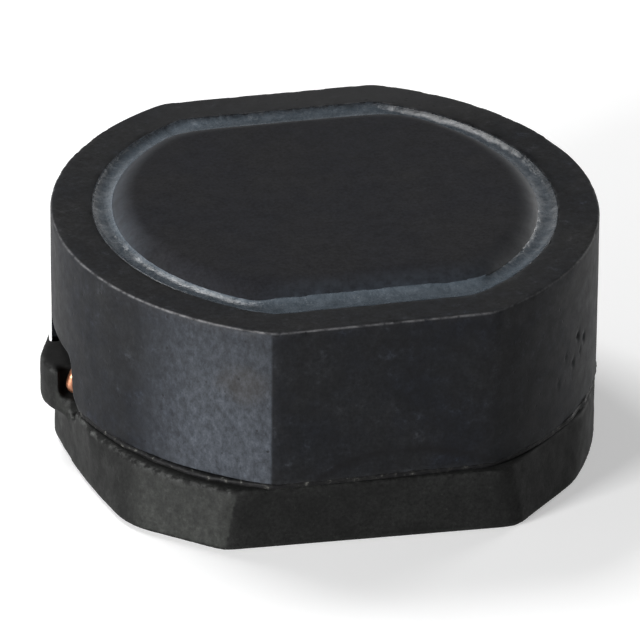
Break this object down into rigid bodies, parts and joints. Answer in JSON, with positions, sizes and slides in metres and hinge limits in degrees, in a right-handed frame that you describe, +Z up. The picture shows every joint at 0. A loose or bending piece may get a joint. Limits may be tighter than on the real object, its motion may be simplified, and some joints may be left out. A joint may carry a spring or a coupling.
{
  "type": "shielded smd power inductor",
  "caption": "Low power inductor for surface mounting: ferrite shield ring with flat sides round a drum core, potted flush at the top, on a moulded base with flat terminals.",
  "frame": {"origin": "middle of the moulded base in plan, on the board plane that the two terminals rest on", "axes": "+X runs through the two terminals, from the lug with the visible lead to the other end; +Z is up, away from the board; +Y points away from the pictured side"},
  "size_m": [0.0129, 0.0122, 0.0057],
  "materials": {
    "ring_ferrite": "matte dark grey pressed ferrite",
    "drum_ferrite": "matte dark grey pressed ferrite",
    "copper_wire": "enamelled copper",
    "potting_resin": "glossy grey epoxy",
    "base_plastic": "matte dark grey moulding",
    "bond_glue": "glossy dark adhesive",
    "terminal_tin": "satin tinned strip",
    "solder": "bright solder"
  },
  "bodies": {
    "root": {"shield_ring": "ring_ferrite", "drum_core": "drum_ferrite", "winding": "copper_wire", "top_potting": "potting_resin", "moulded_base": "base_plastic", "ring_bond": "bond_glue", "core_bond": "bond_glue", "terminal_left": "terminal_tin", "terminal_right": "terminal_tin", "solder_left": "solder", "solder_right": "solder"}
  },
  "joints": []
}
